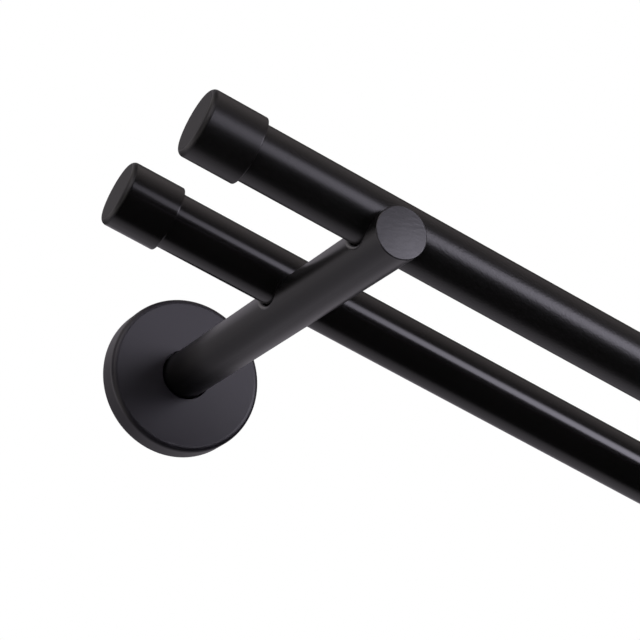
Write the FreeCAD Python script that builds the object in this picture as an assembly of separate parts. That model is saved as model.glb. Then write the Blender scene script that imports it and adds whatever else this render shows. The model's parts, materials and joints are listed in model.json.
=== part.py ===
import FreeCAD, Part
import math
import os

from FreeCAD import Vector

# Double curtain pole: two round poles, one behind the other, lie in saddles cut into the tops
# of two round-bar arms. Each arm stands out from a disc that is screwed to the wall, and a
# shallow cup slides along the arm to hide the disc. Push-on caps close the ends of the poles.
#
# Frame, in millimetres: X runs along the poles, +Y points into the wall, +Z is up. The wall is
# the plane Y = 0. The origin is the middle of the four wall-screw holes, so it lies on the
# wall, midway between the arms and at the height of their axes.

# Poles
POLE_LENGTH = 1200.0
POLE_DIAMETER = 20.0
POLE_WALL = 1.0
POLE_END_BEVEL = 0.3
REAR_POLE_FROM_WALL = 106.0
POLE_SPACING = 70.0
POLE_OVERHANG = 68.5          # from a pole's cut end to the axis of the arm beside it

# Bracket arms, turned from solid round bar
ARM_DIAMETER = 18.0
ARM_NOSE = 4.0                # metal left in front of the front saddle
ARM_END_CROWN_RADIUS = 130.0  # the end is turned very slightly domed
ARM_END_ROUND = 0.4
SADDLE_FLOOR = 6.0            # metal left under a pole
SADDLE_CLEARANCE = 0.5
SADDLE_LIP_ROUND = 1.4
ARM_ROOT_ACROSS_FLATS = 15.0
ARM_ROOT_CLEARANCE = 0.1

# Mounting discs, hidden under the covers
DISC_THICKNESS = 5.0
DISC_RECESS_DEPTH = 1.5
DISC_EDGE_BEVEL = 0.6
WALL_SCREW_SPACING = 38.0
WALL_SCREW_HOLE_DIAMETER = 5.0
WALL_SCREW_HEAD_DIAMETER = 9.5

# Covers
COVER_DIAMETER = 60.0
COVER_DEPTH = 10.0
COVER_WALL = 1.5
COVER_EDGE_ROUND = 2.2
COVER_HOLE_ROUND = 0.3
COVER_ARM_CLEARANCE = 0.5
COVER_DISC_CLEARANCE = 0.15

# Countersunk screws that hold the arms to the discs from behind
ARM_SCREW_DIAMETER = 6.0
ARM_SCREW_HEAD_DIAMETER = 12.0
ARM_SCREW_LENGTH = 16.0
ARM_SCREW_SUNK = 0.2
ARM_SCREW_HOLE_CLEARANCE = 0.3
ARM_SCREW_THREAD_CLEARANCE = 0.05
ARM_SCREW_TIP_BEVEL = 0.6
ARM_SCREW_SOCKET_ACROSS_FLATS = 4.0
ARM_SCREW_SOCKET_DEPTH = 2.0
TAPPED_HOLE_RUNOUT = 2.0
DRILL_POINT_ANGLE = 118.0

# End caps
CAP_LENGTH = 20.0
CAP_END_WALL = 3.0
CAP_WALL = 1.4
CAP_BORE_CLEARANCE = 0.4
CAP_FACE_ROUND = 2.0
CAP_MOUTH_ROUND = 0.5
CAP_MOUTH_BEVEL = 0.4
CAP_RIB_COUNT = 6
CAP_RIB_DIAMETER = 1.6
CAP_RIB_GRIP_CLEARANCE = 0.05
CAP_RIB_LEAD_IN = 3.0

# Sizes and places that follow
POLE_RADIUS = POLE_DIAMETER / 2
ARM_RADIUS = ARM_DIAMETER / 2
SADDLE_RADIUS = POLE_RADIUS + SADDLE_CLEARANCE
ARM_X = POLE_LENGTH / 2 - POLE_OVERHANG
POLE_Y = {
    "front": -(REAR_POLE_FROM_WALL + POLE_SPACING),
    "rear": -REAR_POLE_FROM_WALL,
}
POLE_Z = SADDLE_FLOOR - ARM_RADIUS + POLE_RADIUS
SADDLE_Z = POLE_Z + SADDLE_CLEARANCE
ARM_END_Y = POLE_Y["front"] - SADDLE_RADIUS - ARM_NOSE
ARM_ROOT_Y = DISC_RECESS_DEPTH - DISC_THICKNESS
DISC_RADIUS = COVER_DIAMETER / 2 - COVER_WALL - COVER_DISC_CLEARANCE
ARM_SCREW_RADIUS = ARM_SCREW_DIAMETER / 2
ARM_SCREW_HEAD_RADIUS = ARM_SCREW_HEAD_DIAMETER / 2
CAP_BORE_RADIUS = POLE_RADIUS + CAP_BORE_CLEARANCE
CAP_RADIUS = CAP_BORE_RADIUS + CAP_WALL
SIDES = {"left": -1, "right": 1}

# Length by which a cutting tool runs past the face that it opens
OVERRUN = 1.0

ALONG_X = Vector(1, 0, 0)
OUT_OF_WALL = Vector(0, -1, 0)


def bar_along_x(radius, start, end, y=0.0, z=0.0):
    """Solid round bar between two X positions."""
    return Part.makeCylinder(radius, end - start, Vector(start, y, z), ALONG_X)


def bar_out_of_wall(radius, start, end, x=0.0, z=0.0):
    """Solid round bar from Y = start to the lesser Y = end."""
    return Part.makeCylinder(radius, start - end, Vector(x, start, z), OUT_OF_WALL)


def cone_out_of_wall(start_radius, end_radius, start, end, x=0.0, z=0.0):
    """Solid cone from Y = start to the lesser Y = end."""
    return Part.makeCone(start_radius, end_radius, start - end, Vector(x, start, z), OUT_OF_WALL)


def circles_at(shape, axis, place, radius):
    """Full-circle edges of one radius whose centres have one coordinate along an axis."""
    found = []
    for edge in shape.Edges:
        if not isinstance(edge.Curve, Part.Circle):
            continue
        if abs(getattr(edge.Curve.Center, axis) - place) > 1e-6:
            continue
        if abs(edge.Curve.Radius - radius) < 1e-6:
            found.append(edge)
    return found


def make_pole(y):
    """Thin round tube, cut square and bevelled at both ends."""
    end = POLE_LENGTH / 2
    bar = bar_along_x(POLE_RADIUS, -end, end, y, POLE_Z)
    rims = circles_at(bar, "x", -end, POLE_RADIUS) + circles_at(bar, "x", end, POLE_RADIUS)
    bar = bar.makeChamfer(POLE_END_BEVEL, rims)
    bore = bar_along_x(POLE_RADIUS - POLE_WALL, -end - OVERRUN, end + OVERRUN, y, POLE_Z)
    return bar.cut(bore)


def cap_grip_ribs(mouth, floor):
    """Beads along the bore of a cap, which grip the pole."""
    centre_radius = POLE_RADIUS + CAP_RIB_GRIP_CLEARANCE + CAP_RIB_DIAMETER / 2
    start = mouth + CAP_RIB_LEAD_IN
    beads = []
    for index in range(CAP_RIB_COUNT):
        angle = 2 * math.pi * index / CAP_RIB_COUNT
        y = centre_radius * math.cos(angle)
        z = centre_radius * math.sin(angle)
        beads.append(bar_along_x(CAP_RIB_DIAMETER / 2, start, floor, y, z))
    return beads


def make_cap(side, y):
    """Flat-ended cup on the end of a pole, whose cut end meets the floor of the cup."""
    floor = POLE_LENGTH / 2
    face = floor + CAP_END_WALL
    mouth = face - CAP_LENGTH
    cup = bar_along_x(CAP_RADIUS, mouth, face)
    cup = cup.makeFillet(CAP_FACE_ROUND, circles_at(cup, "x", face, CAP_RADIUS))
    cup = cup.makeFillet(CAP_MOUTH_ROUND, circles_at(cup, "x", mouth, CAP_RADIUS))
    cup = cup.cut(bar_along_x(CAP_BORE_RADIUS, mouth - OVERRUN, floor))
    cup = cup.makeChamfer(CAP_MOUTH_BEVEL, circles_at(cup, "x", mouth, CAP_BORE_RADIUS))
    cup = cup.fuse(cap_grip_ribs(mouth, floor)).removeSplitter()
    if side < 0:
        cup.rotate(Vector(0, 0, 0), Vector(0, 0, 1), 180)
    cup.translate(Vector(0, y, POLE_Z))
    return cup


def saddle_tool(y):
    """Space that a saddle takes from an arm: a round floor with straight walls up to the top."""
    reach = ARM_RADIUS + OVERRUN
    round_floor = bar_along_x(SADDLE_RADIUS, -reach, reach, y, SADDLE_Z)
    corner = Vector(-reach, y - SADDLE_RADIUS, SADDLE_Z)
    walls = Part.makeBox(2 * reach, 2 * SADDLE_RADIUS, reach - SADDLE_Z + SADDLE_RADIUS, corner)
    return round_floor.fuse(walls).removeSplitter()


def saddle_lip(arm, y):
    """Edges where one saddle runs out through the round of the arm."""
    lip = []
    for edge in arm.Edges:
        box = edge.BoundBox
        beside = abs(box.Center.y - y) <= SADDLE_RADIUS + 1e-3
        across = box.YMax - box.YMin < 2 * SADDLE_RADIUS + 1e-3
        middle = edge.valueAt((edge.FirstParameter + edge.LastParameter) / 2)
        on_round = abs(math.hypot(middle.x, middle.z) - ARM_RADIUS) < 1e-3
        if beside and across and on_round:
            lip.append(edge)
    return lip


def tapped_hole():
    """Blind hole in the root of an arm for the screw, with the cone that a drill leaves."""
    radius = ARM_SCREW_RADIUS + ARM_SCREW_THREAD_CLEARANCE
    bottom = -(ARM_SCREW_SUNK + ARM_SCREW_LENGTH + TAPPED_HOLE_RUNOUT)
    point = radius / math.tan(math.radians(DRILL_POINT_ANGLE / 2))
    hole = bar_out_of_wall(radius, ARM_ROOT_Y + OVERRUN, bottom)
    return hole.fuse(cone_out_of_wall(radius, 0.0, bottom, bottom - point))


def root_with_flats(clearance, start, end):
    """Round stub with two upright flats, which stops an arm from turning in its disc."""
    stub = bar_out_of_wall(ARM_RADIUS + clearance, start, end)
    width = ARM_ROOT_ACROSS_FLATS + 2 * clearance
    height = 2 * (ARM_RADIUS + OVERRUN)
    slab = Part.makeBox(width, start - end, height, Vector(-width / 2, end, -height / 2))
    return stub.common(slab)


def crowned_bar(start, end):
    """Round bar of an arm, whose free end is a shallow dome. Gives the rim of that end too."""
    crown_centre = Vector(0, end + ARM_END_CROWN_RADIUS, 0)
    bar = bar_out_of_wall(ARM_RADIUS, start, end)
    bar = bar.common(Part.makeSphere(ARM_END_CROWN_RADIUS, crown_centre))
    rim_y = crown_centre.y - math.sqrt(ARM_END_CROWN_RADIUS ** 2 - ARM_RADIUS ** 2)
    return bar, circles_at(bar, "y", rim_y, ARM_RADIUS)


def make_arm():
    """Round bar with a crowned end, two saddles in its top and flats at its root."""
    shoulder = ARM_ROOT_Y - DISC_RECESS_DEPTH
    arm, rim = crowned_bar(shoulder, ARM_END_Y)
    arm = arm.makeFillet(ARM_END_ROUND, rim)
    for y in POLE_Y.values():
        arm = arm.cut(saddle_tool(y))
    for y in POLE_Y.values():
        arm = arm.makeFillet(SADDLE_LIP_ROUND, saddle_lip(arm, y))
    arm = arm.fuse(root_with_flats(0.0, ARM_ROOT_Y, shoulder)).removeSplitter()
    return arm.cut(tapped_hole())


def wall_screw_hole(z):
    """Countersunk hole for one wall screw, with its countersink on the room side."""
    radius = WALL_SCREW_HOLE_DIAMETER / 2
    head_radius = WALL_SCREW_HEAD_DIAMETER / 2
    front = -DISC_THICKNESS
    hole = bar_out_of_wall(radius, OVERRUN, front - OVERRUN, z=z)
    sink = cone_out_of_wall(radius, head_radius, front + head_radius - radius, front, z=z)
    return hole.fuse(sink)


def arm_screw_hole():
    """Countersunk hole through a disc for the screw that comes from behind."""
    radius = ARM_SCREW_RADIUS + ARM_SCREW_HOLE_CLEARANCE
    mouth_radius = ARM_SCREW_HEAD_RADIUS + ARM_SCREW_SUNK
    hole = bar_out_of_wall(radius, OVERRUN, -DISC_THICKNESS - OVERRUN)
    return hole.fuse(cone_out_of_wall(mouth_radius, radius, 0.0, radius - mouth_radius))


def make_disc():
    """Steel disc on the wall, with a shallow recess that takes the root of the arm."""
    front = -DISC_THICKNESS
    disc = bar_out_of_wall(DISC_RADIUS, 0.0, front)
    disc = disc.makeChamfer(DISC_EDGE_BEVEL, circles_at(disc, "y", front, DISC_RADIUS))
    disc = disc.cut(root_with_flats(ARM_ROOT_CLEARANCE, ARM_ROOT_Y, front - OVERRUN))
    disc = disc.cut(arm_screw_hole())
    for z in (-WALL_SCREW_SPACING / 2, WALL_SCREW_SPACING / 2):
        disc = disc.cut(wall_screw_hole(z))
    return disc


def make_cover():
    """Shallow cup around the disc, with its rim on the wall and a hole for the arm."""
    front = -COVER_DEPTH
    inner_radius = COVER_DIAMETER / 2 - COVER_WALL
    hole_radius = ARM_RADIUS + COVER_ARM_CLEARANCE
    cup = bar_out_of_wall(COVER_DIAMETER / 2, 0.0, front)
    cup = cup.makeFillet(COVER_EDGE_ROUND, circles_at(cup, "y", front, COVER_DIAMETER / 2))
    hollow = bar_out_of_wall(inner_radius, OVERRUN, front + COVER_WALL)
    inner_rim = circles_at(hollow, "y", front + COVER_WALL, inner_radius)
    hollow = hollow.makeFillet(COVER_EDGE_ROUND - COVER_WALL, inner_rim)
    cup = cup.cut(hollow)
    cup = cup.cut(bar_out_of_wall(hole_radius, OVERRUN, front - OVERRUN))
    return cup.makeFillet(COVER_HOLE_ROUND, circles_at(cup, "y", front, hole_radius))


def hexagon_socket(depth_start, depth):
    """Six-sided hole for a key."""
    corner_radius = ARM_SCREW_SOCKET_ACROSS_FLATS / math.sqrt(3)
    corners = []
    for index in range(7):
        angle = math.radians(60 * index)
        x = corner_radius * math.cos(angle)
        z = corner_radius * math.sin(angle)
        corners.append(Vector(x, depth_start, z))
    return Part.Face(Part.makePolygon(corners)).extrude(OUT_OF_WALL * depth)


def make_arm_screw():
    """Countersunk screw: its head lies in the back of the disc, its shank in the arm."""
    back = -ARM_SCREW_SUNK
    tip = back - ARM_SCREW_LENGTH
    neck = back - (ARM_SCREW_HEAD_RADIUS - ARM_SCREW_RADIUS)
    head = cone_out_of_wall(ARM_SCREW_HEAD_RADIUS, ARM_SCREW_RADIUS, back, neck)
    shank = bar_out_of_wall(ARM_SCREW_RADIUS, neck, tip)
    shank = shank.makeChamfer(ARM_SCREW_TIP_BEVEL, circles_at(shank, "y", tip, ARM_SCREW_RADIUS))
    return head.fuse(shank).cut(hexagon_socket(back, ARM_SCREW_SOCKET_DEPTH))


def moved_to_side(shape, side):
    """Copy of a piece drawn on the plane X = 0, moved to the arm on one side."""
    copy = shape.copy()
    copy.translate(Vector(side * ARM_X, 0, 0))
    return copy


def make_pieces():
    """Every separate piece of the double curtain pole, by name."""
    pieces = {}
    for place, y in POLE_Y.items():
        pieces[place + "_pole"] = make_pole(y)
        for name, side in SIDES.items():
            pieces[place + "_" + name + "_cap"] = make_cap(side, y)
    bracket = {
        "bracket_arm": make_arm(),
        "mounting_disc": make_disc(),
        "cover": make_cover(),
        "arm_screw": make_arm_screw(),
    }
    for name, side in SIDES.items():
        for piece, shape in bracket.items():
            pieces[name + "_" + piece] = moved_to_side(shape, side)
    return pieces


os.makedirs("parts", exist_ok=True)
for node, shape in make_pieces().items():
    shape.exportStep(os.path.join("parts", node + ".step"))
    print(node, "valid" if shape.isValid() else "NOT VALID", round(shape.Volume, 1))
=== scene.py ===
import json
import math

import bmesh
import bpy
from mathutils import Matrix, Vector


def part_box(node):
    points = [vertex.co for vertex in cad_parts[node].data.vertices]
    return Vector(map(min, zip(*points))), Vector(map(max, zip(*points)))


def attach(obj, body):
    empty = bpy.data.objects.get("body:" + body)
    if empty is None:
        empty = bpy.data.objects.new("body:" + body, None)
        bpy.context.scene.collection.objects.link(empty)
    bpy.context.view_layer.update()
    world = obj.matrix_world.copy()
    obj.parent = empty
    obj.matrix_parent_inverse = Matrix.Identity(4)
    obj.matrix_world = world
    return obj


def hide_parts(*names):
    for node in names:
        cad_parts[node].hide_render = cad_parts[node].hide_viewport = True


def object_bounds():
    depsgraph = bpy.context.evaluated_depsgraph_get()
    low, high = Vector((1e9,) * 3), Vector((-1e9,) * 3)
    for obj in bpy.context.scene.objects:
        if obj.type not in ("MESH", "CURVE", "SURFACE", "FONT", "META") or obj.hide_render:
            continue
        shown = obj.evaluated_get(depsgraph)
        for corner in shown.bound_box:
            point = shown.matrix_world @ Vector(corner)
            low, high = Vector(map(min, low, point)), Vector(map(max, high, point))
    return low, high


# Looks of the double curtain pole. Everything is in metres, in the frame of the solids: X along
# the poles, +Y into the wall, +Z up, the wall at Y = 0 and the origin midway between the arms.

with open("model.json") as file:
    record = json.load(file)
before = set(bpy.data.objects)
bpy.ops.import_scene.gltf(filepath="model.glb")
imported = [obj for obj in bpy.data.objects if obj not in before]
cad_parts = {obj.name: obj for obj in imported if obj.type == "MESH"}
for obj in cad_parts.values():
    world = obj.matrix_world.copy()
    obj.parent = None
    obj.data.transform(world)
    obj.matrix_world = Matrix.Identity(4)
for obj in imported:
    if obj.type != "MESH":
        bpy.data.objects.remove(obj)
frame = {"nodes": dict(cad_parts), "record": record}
cad_low, cad_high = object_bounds()

MM = 0.001

# Places on the object, from the frame
arm_low, arm_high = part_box("left_bracket_arm")
arm_at_wall = Vector(((arm_low.x + arm_high.x) / 2, 0.0, 0.0))
between_poles = (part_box("front_pole")[1].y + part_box("rear_pole")[0].y) / 2

# Camera, as fitted to the photograph: its place is taken from the left arm's axis at the wall
IMAGE_SIDE = 640
CAMERA_FROM_ARM = Vector((-207.2, -797.2, -332.5)) * MM
CAMERA_YAW = math.radians(17.57)
CAMERA_PITCH = math.radians(24.67)
CAMERA_ROLL = math.radians(20.61)
CAMERA_FOCAL_PIXELS = 2311.7
CAMERA_CLIP_START = 10.0 * MM
SENSOR_WIDTH = 36.0

# Poles
POLE_WALL = 1.0 * MM
POLE_END_BEVEL = 0.3 * MM
POLE_SEGMENTS = 144
POLE_LENGTHWISE_PARTS = 24
SHARP_EDGE = math.radians(30.0)

# Lacquer of the poles and caps. A pair is where a change starts and where it is complete.
LACQUER_LEVEL = 0.003
FRONT_ROUGHNESS = 0.3
REAR_ROUGHNESS = 0.175
CAP_RIM_ROUGHNESS = 0.42
CAP_FACE_ROUGHNESS = 0.66
PEEL_DEPTH = 0.045 * MM
REAR_PEEL = 0.02                       # share of the orange peel that the rear pole has
LEFT_PEEL = 0.3                        # share of it that is left at the left end
PEEL_FROM_LEFT = (53.0 * MM, 93.0 * MM)
REAR_FROM_BETWEEN = (-10.0 * MM, 10.0 * MM)
CAP_RIM_FROM_END = (2.0 * MM, 1.4 * MM)
CAP_FACE_FROM_END = (0.12 * MM, 0.05 * MM)

# Turned end faces of the arms
# The end faces are lighter than the arm's coat: painted light from the key that they face.
ARM_FACE_PAINTED_LIGHT_LEVEL = 0.02
ARM_FACE_ROUGHNESS = 0.32
ARM_FACE_RIPPLE = 30.0                 # height of the ripple, in depths of the arm's grain
ARM_FACE_FROM_TIP = (0.5 * MM, 0.3 * MM)

# Zinc plating of the arm screws
ZINC_DARK = (0.42, 0.43, 0.45, 1.0)
ZINC_LIGHT = (0.62, 0.62, 0.60, 1.0)
ZINC_MARK_DEPTH = 0.004 * MM

# Tints, as factors on a grey
PLAIN_TINT = (1.01, 0.945, 1.045)
BROWN_TINT = (1.05, 0.95, 1.0)
COOL_TINT = (0.975, 0.935, 1.09)
WARM_TINT = (1.07, 0.963, 0.967)
CREAM_TINT = (1.06, 0.985, 0.955)
VIOLET_TINT = (0.98, 0.80, 1.30)

# Studio
WORLD_LEVEL = 0.35
FLOOR_Z = -0.55
FLOOR_RADIUS = 9.0
FLOOR_SEGMENTS = 96
FLOOR_LEVEL = 0.86
FLOOR_WHITE = 0.5                      # share of plain white that the camera sees in the floor
FLOOR_FADE = (1.6, 3.4)
SURROUND_RADIUS = 12.0
SURROUND_SUBDIVISIONS = 4
FAINT_LIGHT = 0.001                    # of the surround where it has no card
LAMP_SIDE = 1.0
LAMP_DISTANCE = 1.8
KEY_AZIMUTH = math.radians(32.0)
KEY_ELEVATION = math.radians(16.0)
KEY_WATTS = 22.0
FILL_AZIMUTH = math.radians(-70.0)
FILL_ELEVATION = math.radians(20.0)
FILL_WATTS = 8.0


class Value:
    """A number or colour in a shader. Arithmetic on it adds the Math nodes that it stands for."""

    def __init__(self, shader, socket):
        self.shader = shader
        self.socket = socket

    def math(self, operation, *terms):
        return self.shader.node("Math", {"operation": operation}, dict(enumerate(terms)))

    def __add__(self, other):
        return self.math("ADD", self, other)

    def __sub__(self, other):
        return self.math("SUBTRACT", self, other)

    def __rsub__(self, other):
        return self.math("SUBTRACT", other, self)

    def __mul__(self, other):
        return self.math("MULTIPLY", self, other)

    def __truediv__(self, other):
        return self.math("DIVIDE", self, other)

    def __pow__(self, other):
        return self.math("POWER", self, other)

    def __abs__(self):
        return self.math("ABSOLUTE", self)

    __radd__ = __add__
    __rmul__ = __mul__

    def at_least(self, other):
        return self.math("MAXIMUM", self, other)

    def rise(self, low, high):
        """0 below low, 1 above high, and smooth between them."""
        ends = {"From Min": low, "From Max": high, "Value": self}
        return self.shader.node("MapRange", {"interpolation_type": "SMOOTHSTEP"}, ends)

    def fall(self, low, high):
        """1 below low, 0 above high, and smooth between them."""
        return 1 - self.rise(low, high)

    def output(self, name):
        """Another output of the node that this value comes from."""
        return Value(self.shader, self.socket.node.outputs[name])


class Shader:
    """A node tree that is filled through one method, node."""

    def __init__(self, owner):
        owner.use_nodes = True
        self.tree = owner.node_tree
        self.tree.nodes.clear()

    def node(self, kind, settings=None, sockets=None, output=0):
        """Adds a node: its settings first, then the values or links of its sockets."""
        made = self.tree.nodes.new("ShaderNode" + kind)
        for name, value in (settings or {}).items():
            setattr(made, name, value)
        for name, value in (sockets or {}).items():
            if isinstance(value, Value):
                self.tree.links.new(value.socket, made.inputs[name])
            else:
                made.inputs[name].default_value = value
        return Value(self, made.outputs[output]) if made.outputs else None

    def mix(self, factor, low, high):
        """Colour between two colours."""
        ends = {0: factor, 6: low, 7: high}
        return self.node("Mix", {"data_type": "RGBA"}, ends, output=2)

    def mottled(self, tone, level, spread, tint):
        """Tinted grey, darker and lighter than its level by a share of it, as tone goes from 0 to 1."""
        return self.mix(tone, grey(level * (1 - spread), tint), grey(level * (1 + spread), tint))

    def noise(self, place, scale=1.0, detail=2.0, roughness=0.5):
        sockets = {"Vector": place, "Scale": scale, "Detail": detail, "Roughness": roughness}
        return self.node("TexNoise", {}, sockets)

    def place(self):
        """Place on the piece, in metres in the frame."""
        return self.node("TexCoord", output="Object")

    def stretched(self, place, factors):
        return self.node("VectorMath", {"operation": "MULTIPLY"}, {0: place, 1: factors})

    def split(self, vector):
        """The three parts of a vector."""
        x = self.node("SeparateXYZ", {}, {"Vector": vector})
        return x, x.output("Y"), x.output("Z")

    def bump(self, height, depth):
        """Normal from a height, which is counted in depths of so many metres."""
        return self.node("Bump", {}, {"Height": height, "Distance": depth})


def grey(level, tint=(1.0, 1.0, 1.0)):
    """Colour of one linear level, tinted."""
    return (level * tint[0], level * tint[1], level * tint[2], 1.0)


def between(share, low, high):
    """Number that goes from low to high as share goes from 0 to 1."""
    return low + (high - low) * share


def coating(name, detail):
    """Material of a coated metal. detail gives its sockets for a shader."""
    material = bpy.data.materials.new(name)
    shader = Shader(material)
    principled = shader.node("BsdfPrincipled", {}, detail(shader))
    shader.node("OutputMaterial", {}, {"Surface": principled})
    return material


def lacquer_detail(shader):
    """Satin lacquer: orange peel, faint drawn lines along the tube, specks and uneven gloss.

    The rear pole is smoother and glossier than the front one, whose orange peel fades towards the
    left end. The caps' rims and end faces are matt, and the poles end short of both.
    """
    place = shader.place()
    x, y, _ = shader.split(place)
    from_middle = abs(x)
    peel = shader.noise(place, scale=1300.0)
    drawn = shader.noise(shader.stretched(place, (6.0, 900.0, 900.0)))
    cloud = shader.noise(place, scale=22.0, detail=3.0)
    speck = shader.noise(place, scale=1900.0, detail=1.0).rise(0.70, 0.80)

    rear = y.rise(*(between_poles + step for step in REAR_FROM_BETWEEN))
    inward = x.rise(*(cad_low.x + step for step in PEEL_FROM_LEFT))
    peel_share = between(rear, 1.0, REAR_PEEL) * between(inward, LEFT_PEEL, 1.0)
    rim = from_middle.rise(*(cad_high.x - step for step in CAP_RIM_FROM_END))
    face = from_middle.rise(*(cad_high.x - step for step in CAP_FACE_FROM_END))
    roughness = between(rear, FRONT_ROUGHNESS, REAR_ROUGHNESS)
    roughness = between(rim, roughness, CAP_RIM_ROUGHNESS)
    roughness = between(face, roughness, CAP_FACE_ROUGHNESS)
    return {
        "Base Color": shader.mottled(cloud * 0.5 + drawn * 0.5, LACQUER_LEVEL, 0.3, BROWN_TINT),
        "Roughness": roughness - 0.03 + 0.05 * cloud + 0.03 * drawn + 0.1 * speck,
        "Normal": shader.bump(peel * peel_share + drawn * 0.006 + speck * 0.01, PEEL_DEPTH),
    }


def turned_end(shader, place, cloud):
    """End face of an arm: where it is, its colour and the height of its ripple. The colour is mottled
    by the ripple and carries painted light: lighter and cooler than the arm's coat, as the key falls on
    it.
    """
    _, y, _ = shader.split(place)
    face = y.rise(*(cad_low.y + step for step in ARM_FACE_FROM_TIP))
    ripple = shader.noise(shader.stretched(place, (480.0, 1.0, 950.0)))
    # Ten times the arm's level, in the key's cool tint: painted light on the face, under the real
    # mottling.
    colour = shader.mottled(ripple * 0.5 + cloud * 0.5, ARM_FACE_PAINTED_LIGHT_LEVEL, 0.3, COOL_TINT)
    return face, colour, ripple * ARM_FACE_RIPPLE


def powder_detail(level, tint, roughness, grain, depth, has_turned_end=False):
    """Powder coat: fine pebbled grain with soft mottling."""

    def detail(shader):
        place = shader.place()
        pebble = shader.noise(place, scale=grain, detail=3.0, roughness=0.6)
        broad = shader.noise(place, scale=grain * 0.22)
        cloud = shader.noise(place, scale=35.0, detail=3.0)
        colour = shader.mottled(pebble * 0.6 + cloud * 0.4, level, 0.4, tint)
        mean_roughness = roughness
        fine = pebble
        if has_turned_end:
            face, face_colour_with_painted_light, ripple = turned_end(shader, place, cloud)
            # The end face's lighter, cooler colour is painted light from the key.
            colour = shader.mix(face, colour, face_colour_with_painted_light)
            mean_roughness = between(face, roughness, ARM_FACE_ROUGHNESS)
            fine = between(face, pebble, ripple)
        return {
            "Base Color": colour,
            "Roughness": 0.08 * pebble + 0.04 * cloud + mean_roughness - 0.06,
            "Normal": shader.bump(fine * 0.75 + broad * 0.25, depth),
        }

    return detail


def zinc_detail(shader):
    """Zinc-plated steel with fine turned marks and cloudy plating."""
    place = shader.place()
    cloud = shader.noise(place, scale=260.0, detail=4.0)
    turned = shader.noise(shader.stretched(place, (1.0, 30.0, 1.0)), scale=900.0)
    return {
        "Base Color": shader.mix(cloud, ZINC_DARK, ZINC_LIGHT),
        "Roughness": 0.25 + 0.2 * cloud + 0.1 * turned,
        "Metallic": 1.0,
        "Normal": shader.bump(turned, ZINC_MARK_DEPTH),
    }


def make_finishes():
    """Materials of the object, by the name of the record's slot."""
    arm_coat = powder_detail(
        level=0.002, tint=PLAIN_TINT, roughness=0.31, grain=1500.0, depth=0.0015 * MM,
        has_turned_end=True
    )
    cover_coat = powder_detail(
        level=0.006, tint=VIOLET_TINT, roughness=0.43, grain=1300.0, depth=0.004 * MM
    )
    disc_coat = powder_detail(
        level=0.02, tint=PLAIN_TINT, roughness=0.35, grain=1300.0, depth=0.003 * MM
    )
    return {
        "pole_tube": coating("satin_black_lacquer", lacquer_detail),
        "end_cap": coating("satin_black_cap_lacquer", lacquer_detail),
        "bracket_arm": coating("fine_black_powder_coat", arm_coat),
        "wall_cover": coating("matt_black_powder_coat", cover_coat),
        "mounting_disc": coating("black_disc_coat", disc_coat),
        "screw": coating("zinc_plated_steel", zinc_detail),
    }


def finish_piece(piece, slot, finishes):
    """Gives a new piece its material, its slot and its body."""
    piece.data.materials.append(finishes[slot])
    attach(piece, "root")


def new_piece(name, mesh_maker):
    """Object made from a bmesh."""
    mesh = bpy.data.meshes.new(name)
    mesh_maker.to_mesh(mesh)
    mesh_maker.free()
    piece = bpy.data.objects.new(name, mesh)
    bpy.context.scene.collection.objects.link(piece)
    return piece


def turned_along_x(name, profile, y, z, segments):
    """Closed ring of (x, radius) points turned about a line along X, smooth but for sharp edges."""
    maker = bmesh.new()
    rings = []
    for x, radius in profile:
        ring = []
        for index in range(segments):
            angle = 2 * math.pi * index / segments
            place = (x, y + radius * math.cos(angle), z + radius * math.sin(angle))
            ring.append(maker.verts.new(place))
        rings.append(ring)
    for ring, following in zip(rings, rings[1:] + rings[:1]):
        for index in range(segments):
            after = (index + 1) % segments
            corners = (ring[index], following[index], following[after], ring[after])
            maker.faces.new(corners)
    bmesh.ops.recalc_face_normals(maker, faces=maker.faces)
    for face in maker.faces:
        face.smooth = True
    for edge in maker.edges:
        if edge.calc_face_angle(0.0) > SHARP_EDGE:
            edge.smooth = False
    return new_piece(name, maker)


def make_pole(node, finishes):
    """Smooth round tube with bevelled ends, in place of the faceted solid."""
    low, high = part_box(node)
    radius = (high.z - low.z) / 2
    y = (low.y + high.y) / 2
    z = (low.z + high.z) / 2
    inner = radius - POLE_WALL
    bevelled = radius - POLE_END_BEVEL
    profile = [(low.x, inner), (low.x, bevelled), (low.x + POLE_END_BEVEL, radius)]
    for index in range(1, POLE_LENGTHWISE_PARTS):
        profile.append((low.x + (high.x - low.x) * index / POLE_LENGTHWISE_PARTS, radius))
    profile += [(high.x - POLE_END_BEVEL, radius), (high.x, bevelled), (high.x, inner)]
    pole = turned_along_x(node + "_tube", profile, y, z, POLE_SEGMENTS)
    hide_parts(node)
    finish_piece(pole, "pole_tube", finishes)


def dress_nodes(finishes):
    """Materials for the CAD nodes that stay as they are."""
    for entry in frame["record"]["subparts"]:
        node = frame["nodes"][entry["node"]]
        for slot in node.material_slots:
            slot.material = finishes[entry["material_slot"]]


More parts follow.
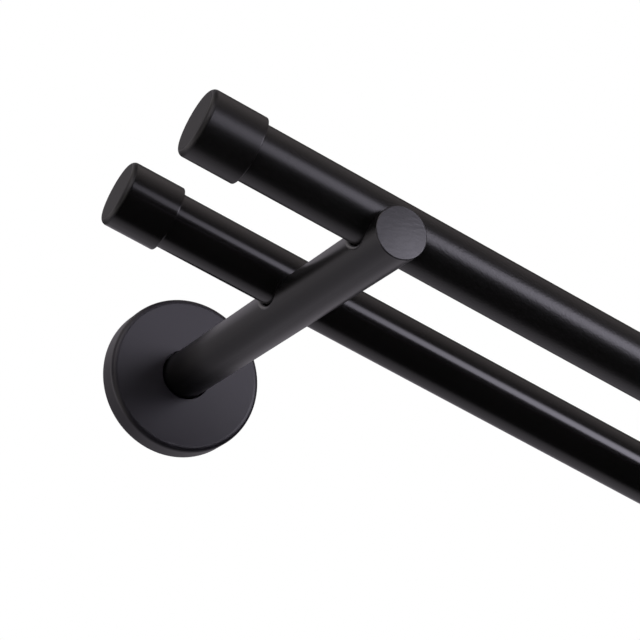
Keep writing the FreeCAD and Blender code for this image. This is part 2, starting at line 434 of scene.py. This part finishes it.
def make_camera():
    """Camera at the photograph's viewing angle: it looks up at the left end, and is tilted."""
    ahead = Vector((
        math.sin(CAMERA_YAW) * math.cos(CAMERA_PITCH),
        math.cos(CAMERA_YAW) * math.cos(CAMERA_PITCH),
        math.sin(CAMERA_PITCH),
    ))
    level_right = Vector((math.cos(CAMERA_YAW), -math.sin(CAMERA_YAW), 0.0))
    level_up = level_right.cross(ahead)
    right = level_right * math.cos(CAMERA_ROLL) + level_up * math.sin(CAMERA_ROLL)
    up = level_up * math.cos(CAMERA_ROLL) - level_right * math.sin(CAMERA_ROLL)
    axes = Matrix((right, up, -ahead)).transposed()
    camera = bpy.data.cameras.new("photo_camera")
    camera.sensor_width = SENSOR_WIDTH
    camera.lens = SENSOR_WIDTH * CAMERA_FOCAL_PIXELS / IMAGE_SIDE
    camera.clip_start = CAMERA_CLIP_START
    holder = bpy.data.objects.new("photo_camera", camera)
    holder.matrix_world = Matrix.Translation(arm_at_wall + CAMERA_FROM_ARM) @ axes.to_4x4()
    bpy.context.scene.collection.objects.link(holder)
    bpy.context.scene.camera = holder


def direction(azimuth, elevation):
    """Unit vector: azimuth 0 is away from the wall, and it turns towards +X."""
    return Vector((
        math.sin(azimuth) * math.cos(elevation),
        -math.cos(azimuth) * math.cos(elevation),
        math.sin(elevation),
    ))


def area_lamp(name, target, azimuth, elevation, watts):
    """Square soft lamp that faces the target. The gloss shows the surround in its place."""
    lamp = bpy.data.lights.new(name, "AREA")
    lamp.shape = "SQUARE"
    lamp.size = LAMP_SIDE
    lamp.energy = watts
    holder = bpy.data.objects.new(name, lamp)
    holder.location = target + direction(azimuth, elevation) * LAMP_DISTANCE
    holder.rotation_euler = (target - holder.location).to_track_quat("-Z", "Y").to_euler()
    holder.visible_camera = False
    holder.visible_glossy = False
    bpy.context.scene.collection.objects.link(holder)


def make_world():
    """White ground for the camera, gloss and transmission, and a plain level for diffuse light."""
    world = bpy.data.worlds.new("studio")
    bpy.context.scene.world = world
    shader = Shader(world)
    camera_ray = shader.node("LightPath", output="Is Camera Ray")
    glossy_ray = camera_ray.output("Is Glossy Ray")
    transmission_ray = camera_ray.output("Is Transmission Ray")
    seen = camera_ray.at_least(glossy_ray).at_least(transmission_ray)
    colour = shader.mix(seen, grey(WORLD_LEVEL), grey(1.0))
    background = shader.node("Background", {}, {"Color": colour})
    shader.node("OutputWorld", {}, {"Surface": background})


def make_floor():
    """Pale floor that keeps the shadow, fades into the white ground and is open from below."""
    maker = bmesh.new()
    bmesh.ops.create_circle(maker, cap_ends=True, radius=FLOOR_RADIUS, segments=FLOOR_SEGMENTS)
    floor = new_piece("studio_floor", maker)
    floor.location.z = FLOOR_Z
    material = bpy.data.materials.new("pale_floor")
    shader = Shader(material)
    x, y, _ = shader.split(shader.place())
    far = ((x * x + y * y) ** 0.5).rise(*FLOOR_FADE)
    camera_ray = shader.node("LightPath", output="Is Camera Ray")
    white_share = between(far, FLOOR_WHITE, 1.0) * camera_ray
    pale = shader.node("BsdfDiffuse", {}, {"Color": grey(FLOOR_LEVEL)})
    white = shader.node("Emission", {}, {"Color": grey(1.0)})
    top = shader.node("MixShader", {}, {0: white_share, 1: pale, 2: white})
    underside = shader.node("NewGeometry", output="Backfacing")
    clear = shader.node("BsdfTransparent")
    both = shader.node("MixShader", {}, {0: underside, 1: top, 2: clear})
    shader.node("OutputMaterial", {}, {"Surface": both})
    floor.data.materials.append(material)
    floor.visible_glossy = False


def degrees_up(up, level):
    """Degrees above level of a direction with these two parts."""
    return up.math("ARCTAN2", up, level) * math.degrees(1)


def card(angle, low, high, soft, light):
    """Light between two angles in degrees, with edges that soften over soft degrees."""
    half = soft / 2
    return angle.rise(low - half, low + half) * angle.fall(high - half, high + half) * light


def key_card(from_front, x):
    """Bright key in front, at the right. It climbs and dims towards the right."""
    right = x.rise(0.08, 0.46)
    climb = 20 * x
    return card(from_front - climb, low=-9, high=25, soft=11, light=6.2 - 1.3 * x) * right


def wall_card(from_wall, x, y):
    """Grey wall: darker straight ahead at the left, lighter higher up there and at the right."""
    shade = 0.8 * y.rise(0.85, 0.9) * x.fall(-0.05, 0.24)
    left_glow = 0.32 * from_wall.rise(-60, -30) * x.fall(0.12, 0.34)
    right_glow = 0.45 * x.rise(0.36, 0.56)
    wall = card(from_wall, low=-70, high=20, soft=28, light=0.31)
    return wall * (1 - shade) * (1 + left_glow + right_glow)


def ceiling_card(from_wall, x):
    """Ceiling, from above the wall to overhead: none at the left, and brightest near the middle."""
    light = (0.28 + 0.23 * x.fall(0.1, 0.32)) * x.rise(-0.3, 0.05)
    return from_wall.rise(44, 86) * from_wall.fall(100, 155) * light


def side_card(x, y):
    """Small card at the far left, off the wall. It lights the rounded edges at that end."""
    return 0.8 * x.rise(-0.9, -0.75) * x.fall(-0.62, -0.48) * y.fall(0.72, 0.8)


def studio_light(shader, x, y, z):
    """Colour of the studio's light by direction, as the satin finish reflects it.

    x, y and z are the parts of the direction, whose length is 1. The cards run along X, as the
    poles do. Their edges are angles about X, in degrees up from level, seen from the front or
    from the wall side. The far right is dark.
    """
    from_front = degrees_up(z, -1 * y)
    from_wall = degrees_up(z, y)
    left = x.fall(-0.3, 0.3)
    lit = x.fall(0.7, 0.95)

    upper_wall = card(from_wall, low=14, high=34, soft=12, light=0.1 + 0.2 * left)
    slot = card(from_wall, low=28, high=60, soft=20, light=0.36 * left)
    table = card(from_wall, low=-72, high=-30, soft=20, light=0.12)
    walls = (wall_card(from_wall, x, y) + upper_wall + slot + table) * lit
    ceiling = ceiling_card(from_wall, x) * lit
    key = key_card(from_front, x) * lit
    fill = card(from_front, low=16, high=46, soft=14, light=1.5) * x.fall(-0.3, 0.0)
    side = side_card(x, y) + FAINT_LIGHT
    strength = walls + ceiling + key + fill + side

    colour = grey(1.0, PLAIN_TINT)
    for light, tint in ((ceiling, WARM_TINT), (key, COOL_TINT), (side, CREAM_TINT)):
        colour = shader.mix(light / strength, colour, grey(1.0, tint))
    return shader.node("VectorMath", {"operation": "SCALE"}, {0: colour, "Scale": strength})


def make_surround(centre):
    """Sphere around the part that only gloss sees, lit by the studio's soft cards."""
    maker = bmesh.new()
    bmesh.ops.create_icosphere(maker, subdivisions=SURROUND_SUBDIVISIONS, radius=SURROUND_RADIUS)
    surround = new_piece("studio_surround", maker)
    surround.location = centre
    material = bpy.data.materials.new("studio_surround_light")
    shader = Shader(material)
    x, y, z = (part / SURROUND_RADIUS for part in shader.split(shader.place()))
    light = shader.node("Emission", {}, {"Color": studio_light(shader, x, y, z)})
    shader.node("OutputMaterial", {}, {"Surface": light})
    material.cycles.emission_sampling = "NONE"
    surround.data.materials.append(material)
    surround.visible_camera = False
    surround.visible_diffuse = False
    surround.visible_transmission = False
    surround.visible_shadow = False


def make_studio():
    """White ground, floor, surround and soft lamps."""
    make_world()
    make_floor()
    middle = Vector((arm_at_wall.x, (cad_low.y + cad_high.y) / 2, 0.0))
    make_surround(middle)
    area_lamp("key_softbox", middle, KEY_AZIMUTH, KEY_ELEVATION, KEY_WATTS)
    area_lamp("fill_softbox", middle, FILL_AZIMUTH, FILL_ELEVATION, FILL_WATTS)
    bpy.context.scene.view_settings.view_transform = "Standard"


make_camera()
finishes = make_finishes()
dress_nodes(finishes)
for pole_node in ("front_pole", "rear_pole"):
    make_pole(pole_node, finishes)
make_studio()
